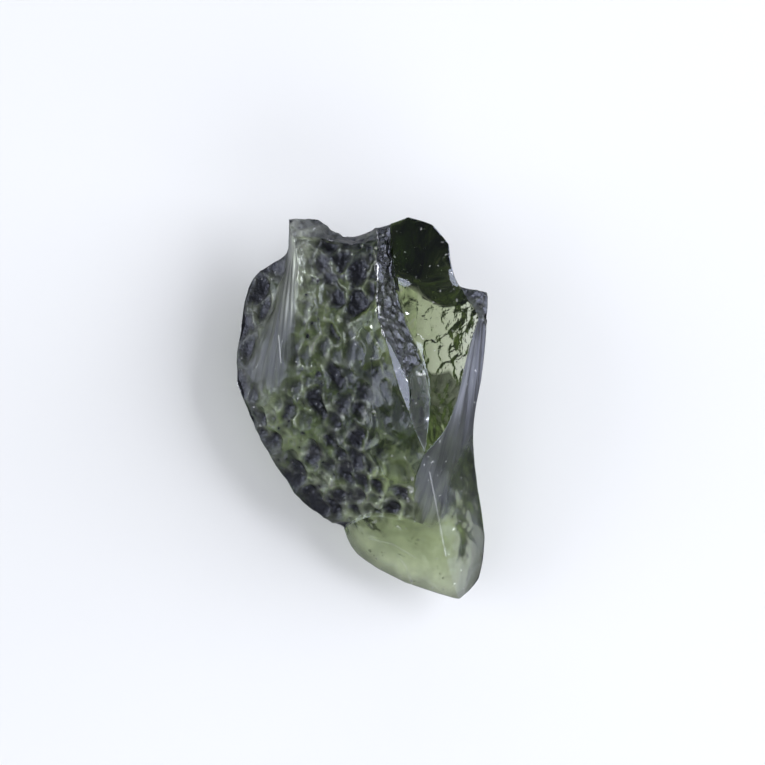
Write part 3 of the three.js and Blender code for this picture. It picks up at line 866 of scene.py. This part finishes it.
def etching_tree():
    """Geometry Nodes: small pits and grain along the normals, scaled by the etching attribute.

    The small pits are also stored as an attribute, because their bottoms get painted shade.
    """
    tree = bpy.data.node_groups.new("etched skin", "GeometryNodeTree")
    face = tree.interface
    face.new_socket("Geometry", in_out="INPUT", socket_type="NodeSocketGeometry")
    for name in ("Pit Spacing", "Pit Depth", "Grain Spacing", "Grain Depth", "Seed"):
        face.new_socket(name, in_out="INPUT", socket_type="NodeSocketFloat")
    face.new_socket("Material", in_out="INPUT", socket_type="NodeSocketMaterial")
    face.new_socket("Geometry", in_out="OUTPUT", socket_type="NodeSocketGeometry")
    given = add_node(tree, "NodeGroupInput").outputs
    position = add_node(tree, "GeometryNodeInputPosition").outputs[0]
    normal = add_node(tree, "GeometryNodeInputNormal").outputs[0]
    etching = add_node(
        tree, "GeometryNodeInputNamedAttribute", {"Name": "etching"}, data_type="FLOAT").outputs[0]

    patterns, heights = {}, []
    for size, kind, output, mean, extras, settings in (
        ("Grain", "ShaderNodeTexNoise", "Fac", NOISE_MEAN, {"Detail": 1.0}, {"noise_dimensions": "4D"}),
        ("Pit", "ShaderNodeTexVoronoi", "Distance", MEAN_GAP, {},
         {"voronoi_dimensions": "4D", "feature": "SMOOTH_F1"}),
    ):
        scale = add_node(tree, "ShaderNodeMath", {0: 1.0, 1: given[size + " Spacing"]}, operation="DIVIDE")
        inputs = {"Vector": position, "W": given["Seed"], "Scale": scale.outputs[0], **extras}
        pattern = add_node(tree, kind, inputs, **settings).outputs[output]
        from_mean = add_node(tree, "ShaderNodeMath", {0: pattern, 1: mean}, operation="SUBTRACT")
        patterns[size] = from_mean.outputs[0]
        deep = {0: patterns[size], 1: given[size + " Depth"]}
        heights.append(add_node(tree, "ShaderNodeMath", deep, operation="MULTIPLY").outputs[0])
    height = add_node(tree, "ShaderNodeMath", dict(enumerate(heights)), operation="ADD")
    height = add_node(tree, "ShaderNodeMath", {0: height.outputs[0], 1: etching}, operation="MULTIPLY")
    offset = add_node(
        tree, "ShaderNodeVectorMath", {0: normal, "Scale": height.outputs[0]}, operation="SCALE")
    marked = add_node(tree, "GeometryNodeStoreNamedAttribute", {
        "Geometry": given["Geometry"],
        "Name": "small_pits",
        "Value": patterns["Pit"],
    }, data_type="FLOAT", domain="POINT")
    moved = add_node(tree, "GeometryNodeSetPosition", {
        "Geometry": marked.outputs[0],
        "Offset": offset.outputs[0],
    })
    real = add_node(tree, "GeometryNodeRealizeInstances", {"Geometry": moved.outputs[0]})
    finished = add_node(tree, "GeometryNodeSetMaterial", {
        "Geometry": real.outputs[0],
        "Material": given["Material"],
    })
    add_node(tree, "NodeGroupOutput", {"Geometry": finished.outputs[0]})
    return tree


def set_inputs(modifier, values):
    """Sets a Geometry Nodes modifier's inputs by their identifiers."""
    for item in modifier.node_group.interface.items_tree:
        if item.item_type == "SOCKET" and item.in_out == "INPUT" and item.name in values:
            modifier[item.identifier] = values[item.name]


def plain_mesh(piece):
    """Turns the piece's modifiers into its mesh."""
    graph = bpy.context.evaluated_depsgraph_get()
    mesh = bpy.data.meshes.new_from_object(piece.evaluated_get(graph))
    piece.modifiers.clear()
    piece.data = mesh
    return mesh


# Settings


def in_millimetres(name, description, default):
    return bpy.props.FloatProperty(
        name=name, description=description, default=default * MM, unit="LENGTH", precision=5)


def as_share(name, description, default):
    return bpy.props.FloatProperty(name=name, description=description, default=default, subtype="FACTOR")


def as_angle(name, description, default):
    return bpy.props.FloatProperty(name=name, description=description, default=default, subtype="ANGLE")


def as_amount(name, description, default):
    return bpy.props.FloatProperty(name=name, description=description, default=default)


def as_rounds(name, description, default):
    return bpy.props.IntProperty(name=name, description=description, default=default, min=1)


def as_colour(name, description, default):
    return bpy.props.StringProperty(name=name, description=description + ", as sRGB hex", default=default)


class StoneSettings(bpy.types.PropertyGroup):
    """Sizes and finishes of the stone."""

    rounds: as_rounds("Rounds", "Rounds of subdivision", 5)
    blend_rounds: as_rounds("Blend rounds", "How far the dull finishes run into each other", 60)

    # the relief in the form
    pit_width: in_millimetres("Pit width", "Spacing of the pits across the stone", 0.95)
    pit_length: in_millimetres("Pit length", "Spacing of the pits along the stone", 1.3)
    pit_depth: in_millimetres("Pit depth", "From the ridges down to the deepest bowls", 0.42)
    worn_share: as_share("Worn share", "Share of the pits' depth in the hollow and the strip", 0.35)
    haze_share: as_share("Haze share", "Share of the pits' depth on the hazy foot", 0.2)
    crumple_spacing: in_millimetres("Crumple spacing", "Spacing of the crumpled break's hollows", 0.75)
    crumple_depth: in_millimetres("Crumple depth", "Depth of the crumpled break's hollows", 0.22)
    flute_angle: as_angle("Flute angle", "Angle between two flutes of the silky flanks", 0.08)
    flute_depth: in_millimetres("Flute depth", "Depth of the flutes", 0.03)
    ripple_length: in_millimetres("Ripple length", "From one ring of a break to the next", 1.7)
    ripple_depth: in_millimetres("Ripple depth", "Height of the rings of a break", 0.02)
    rim_relief: as_share("Rim relief", "Share of the relief's depth on the rim itself", 0.35)
    rim_reach: in_millimetres("Rim reach", "Distance from the rim where the relief is full", 1.1)
    flat_spot_reach: in_millimetres("Flat spot reach", "Height above the flat spot where it is full", 0.7)

    # the finest relief
    small_pit_spacing: in_millimetres("Small pit spacing", "Spacing of the pits in the large ones", 0.42)
    small_pit_depth: in_millimetres("Small pit depth", "Depth of the small pits", 0.28)
    grain_spacing: in_millimetres("Grain spacing", "Size of the finest etching of the form", 0.25)
    grain_depth: in_millimetres("Grain depth", "Depth of the finest etching of the form", 0.08)
    frost_share: as_share("Frost share", "Share of their depth on the end face, knob and strip", 0.9)
    ragged_rim: as_share("Ragged rim", "Share of their depth on the rim itself", 0.25)
    # The soil etches a grain far finer than this, which is as coarse as it needs to be to show.
    fine_grain: in_millimetres("Fine grain", "Size of the grain that only the light shows", 0.15)
    fine_depth: in_millimetres("Fine depth", "Depth of that grain and of the streaks", 0.055)
    crease_spacing: in_millimetres("Crease spacing", "Size of the finest creases of the break", 0.35)
    crease_depth: as_amount("Crease depth", "Depth of those creases, against the fine depth", 2.2)

    # the glass
    glass_colour: as_colour("Glass colour", "Colour that the glass lets through", "A4B648")
    absorption: as_amount("Absorption", "Density of the glass's colour, per metre", 300.0)
    ior: as_amount("IOR", "How much the glass bends light", 1.49)
    sheen: as_amount("Sheen", "Strength of the surface's own reflection, 0.5 being clean glass", 0.28)
    # painted light: the bluish tint of every reflection stands in for the cool light
    painted_cool_sheen: as_colour("Sheen colour", "Colour of the surface's own reflection", "E6EAFF")
    bloom_roughness: as_share("Bloom roughness", "Roughness of the grey bloom on the silky flanks", 0.45)
    bloom_ior: as_amount("Bloom IOR", "Sets how bright the grey bloom is", 2.4)
    red_lost: as_share("Red lost", "Share of red that the weathered surface keeps back", 0.08)
    blue_lost: as_share("Blue lost", "Share of blue that the weathered surface keeps back", 0.25)

    # the pitted skin, with painted light on its ridges and painted shade in its pits
    # painted light and shade: how much lighter the ridges are painted than the pits
    painted_ridge_glow: as_amount("Ridge glow", "How much more light the ridges let through than the pits", 1.1)
    # painted light on the net of ridges: a painted grey highlight, a painted sheen and a painted glow
    painted_ridge_highlight: as_share("Ridge bloom", "Weight of the grey bloom on the lit net of ridges", 0.2)
    painted_ridge_sheen: as_share("Ridge milk", "How milky that net is", 0.2)
    painted_net_glow: as_share("Net glow", "How much clearer that net is", 0.1)
    net_width: as_amount("Net width", "Width of that net, in squared pits", 0.2)
    # painted shade in the small pits
    painted_small_pit_shade: as_amount("Small pit contrast", "How much darker small pits are than ridges", 3.0)

    # the silky flanks, and the painted light of the streak below the horn
    streak_angle: as_angle("Streak angle", "Angle between two fine streaks of the silky flanks", 0.03)
    streak_length: in_millimetres("Streak length", "Length of a fine streak", 4.0)
    streak_contrast: as_amount("Streak contrast", "How much the fine streaks differ in brightness", 4.0)
    haze_streaks: as_share("Haze streaks", "Strength of the fine streaks in the foot", 0.1)
    skin_streaks: as_share("Skin streaks", "Strength of the fine streaks in the skin", 0.4)
    streak_width: in_millimetres("Streak width", "Half the width of the clear streak below the horn", 1.05)
    # painted light on the streak: a painted glow, a painted grey highlight and a painted sheen
    painted_streak_glow: as_share("Streak glow", "How clear that streak is", 0.9)
    painted_streak_highlight: as_share("Streak bloom", "Weight of the grey bloom on that streak", 0.62)
    painted_streak_sheen: as_share("Streak milk", "How milky that streak is", 0.35)

    # the foot, and the painted shade on the rim and on the undercut
    foot_glow: as_share("Foot glow", "How much clearer the foot's underside is than the hollow", 0.3)
    # painted shade on the foot's rim
    painted_foot_rim_shade: as_share("Foot rim", "How much darker the foot's rim is", 0.5)
    foot_reach: in_millimetres("Foot rim reach", "Width of the foot's darker rim", 1.1)
    mottle_size: in_millimetres("Mottle size", "Size of the cloudy patches of the foot", 1.6)
    mottle_contrast: as_amount("Mottle contrast", "How much those patches differ", 2.0)
    veil: as_share("Veil", "How dull the veil on the right of the foot is", 0.5)
    veil_width: in_millimetres("Veil width", "Half the width of that veil", 1.2)
    # painted shade on the rim of the skin and the silk
    painted_rim_shade: as_share("Rim darkness", "How much darker skin and silk are on the rim", 0.72)
    dark_reach: in_millimetres("Dark reach", "Distance from the rim where they are fully clear", 2.2)
    # painted shade on the undercut
    film_dullness: as_share("Film dullness", "Share of the light that the undercut swallows", 0.6)

    # chips, painted glints and scratches
    chip_whiteness: as_share("Chip whiteness", "How white the crushed chips are", 0.5)
    chip_jags: as_amount("Chip jags", "How jagged the crushed chips are", 4.0)
    # painted glints where the noise is high
    glint_level: as_amount("Speck level", "Height of the noise above which it makes a pale speck", 0.228)
    scratch_width: in_millimetres("Scratch width", "Width of the fine bright scratches", 0.085)
    scratch_bloom: as_share("Scratch bloom", "How bright the scratches are", 0.8)


class StageSettings(bpy.types.PropertyGroup):
    """Floor, lights and camera. Brightness is radiance, the floor's being near 1."""

    floor_colour: as_colour("Floor colour", "Colour of the board", "E9E8E5")
    floor_size: in_millimetres("Floor size", "Side of the board", 3000.0)
    floor_gap: in_millimetres("Floor gap", "Hair's breadth between the flat spot and the board", 0.02)
    light_colour: as_colour("Light colour", "Colour of the softboxes", "F0F4FF")
    sky_colour: as_colour("Room colour", "Colour of the dim room", "888A8E")
    key_brightness: as_amount("Key brightness", "Of the softbox at the right", 8.2)
    fill_brightness: as_amount("Fill brightness", "Of the softbox at the left", 3.6)
    back_brightness: as_amount("Back brightness", "Of the softbox beyond the horn", 3.0)
    front_brightness: as_amount("Front brightness", "Of the softbox before the foot", 2.6)
    tent_brightness: as_amount("Tent brightness", "Of the high softbox at the left", 0.9)
    lens: as_amount("Lens", "Focal length of the camera, in millimetres", 150.0)
    camera_height: in_millimetres("Camera height", "Height of the camera above the board", 187.0)


# Operators


class MOLDAVITE_OT_stone(bpy.types.Operator):
    """Build the raw stone of green natural glass"""

    bl_idname = "moldavite.stone"
    bl_label = "Raw Stone"

    def execute(self, context):
        settings = context.scene.moldavite_stone
        shape = shape_stone(settings)
        looks = stone_looks(settings, shape)
        low, high = (np.array(corner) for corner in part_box(NODE))
        mesh = bpy.data.meshes.new("raw_stone")
        mesh.from_pydata(fit_to(shape.points, low, high).tolist(), [], shape.triangles.tolist())
        for name, values in looks.items():
            kind, field = ("FLOAT_VECTOR", "vector") if values.ndim == 2 else ("FLOAT", "value")
            attribute = mesh.attributes.new(name, kind, "POINT")
            attribute.data.foreach_set(field, values.ravel().astype(np.float32))
        mesh.update()
        stone = bpy.data.objects.new("raw_stone", mesh)
        context.scene.collection.objects.link(stone)
        modifier = stone.modifiers.new("Etched skin", "NODES")
        modifier.node_group = etching_tree()
        set_inputs(modifier, {
            "Pit Spacing": settings.small_pit_spacing,
            "Pit Depth": settings.small_pit_depth,
            "Grain Spacing": settings.grain_spacing,
            "Grain Depth": settings.grain_depth,
            "Seed": SMALL_PIT_SEED,
            "Material": glass_material(settings),
        })
        plain_mesh(stone).shade_smooth()
        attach(stone, "root")
        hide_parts(NODE)
        return {"FINISHED"}


def add_softbox(scene, colour_of_light, name, azimuth, elevation, size, brightness):
    """A soft panel light that faces the stone. Azimuth 0 is +X, and 90 is +Y, in degrees."""
    light = bpy.data.lights.new(name, "AREA")
    light.shape = "RECTANGLE"
    light.size, light.size_y = size
    light.energy = brightness * math.pi * size[0] * size[1]
    light.color = linear(colour_of_light)[:3]
    panel = bpy.data.objects.new(name, light)
    across, up = math.radians(azimuth), math.radians(elevation)
    panel.location = (
        SOFTBOX_DISTANCE * math.cos(up) * math.cos(across),
        SOFTBOX_DISTANCE * math.cos(up) * math.sin(across),
        SOFTBOX_DISTANCE * math.sin(up),
    )
    panel.rotation_mode = "QUATERNION"
    panel.rotation_quaternion = panel.location.to_track_quat("Z", "Y")
    panel.visible_camera = False
    scene.collection.objects.link(panel)


class MOLDAVITE_OT_stage(bpy.types.Operator):
    """Set the pale floor, the softboxes and the camera straight above"""

    bl_idname = "moldavite.stage"
    bl_label = "Stage"

    def execute(self, context):
        scene = context.scene
        settings = scene.moldavite_stage
        half = settings.floor_size / 2
        corners = [(-half, -half, 0), (half, -half, 0), (half, half, 0), (-half, half, 0)]
        mesh = bpy.data.meshes.new("board")
        mesh.from_pydata(corners, [], [(0, 1, 2, 3)])
        mesh.materials.append(floor_material(settings))
        board = bpy.data.objects.new("board", mesh)
        board.location.z = -settings.floor_gap
        scene.collection.objects.link(board)

        for name, azimuth, elevation, size, brightness in (
            ("key_softbox", 14, 26, (0.42, 0.38), settings.key_brightness),
            ("fill_softbox", 178, 16, (0.4, 0.34), settings.fill_brightness),
            ("back_softbox", 96, 8, (0.5, 0.2), settings.back_brightness),
            ("front_softbox", -60, 20, (0.45, 0.34), settings.front_brightness),
            ("tent_softbox", 205, 50, (0.5, 0.4), settings.tent_brightness),
        ):
            add_softbox(scene, settings.light_colour, name, azimuth, elevation, size, brightness)

        world = bpy.data.worlds.new("dim room")
        world.use_nodes = True
        world.node_tree.nodes["Background"].inputs["Color"].default_value = linear(settings.sky_colour)
        scene.world = world
        scene.view_settings.view_transform = "Standard"

        camera = bpy.data.cameras.new("camera")
        camera.lens = settings.lens
        camera.sensor_width = 36
        camera.clip_start = 0.005
        rig = bpy.data.objects.new("camera", camera)
        rig.location = (VIEW_CENTRE[0] * MM, VIEW_CENTRE[1] * MM, settings.camera_height)
        scene.collection.objects.link(rig)
        scene.camera = rig
        return {"FINISHED"}


class MOLDAVITE_PT_panel(bpy.types.Panel):
    """Buttons and sizes in the 3D view's sidebar"""

    bl_idname = "MOLDAVITE_PT_panel"
    bl_label = "Raw Moldavite"
    bl_space_type = "VIEW_3D"
    bl_region_type = "UI"
    bl_category = "Moldavite"

    def draw(self, context):
        for settings, operator in (
            (context.scene.moldavite_stone, "moldavite.stone"),
            (context.scene.moldavite_stage, "moldavite.stage"),
        ):
            box = self.layout.box()
            for name in settings.__annotations__:
                box.prop(settings, name)
            box.operator(operator)


CLASSES = (StoneSettings, StageSettings, MOLDAVITE_OT_stone, MOLDAVITE_OT_stage, MOLDAVITE_PT_panel)


def register():
    for item in CLASSES:
        bpy.utils.register_class(item)
    bpy.types.Scene.moldavite_stone = bpy.props.PointerProperty(type=StoneSettings)
    bpy.types.Scene.moldavite_stage = bpy.props.PointerProperty(type=StageSettings)


def unregister():
    del bpy.types.Scene.moldavite_stage
    del bpy.types.Scene.moldavite_stone
    for item in reversed(CLASSES):
        bpy.utils.unregister_class(item)


def main():
    register()
    bpy.ops.moldavite.stage()
    bpy.ops.moldavite.stone()


if __name__ == "__main__":
    main()
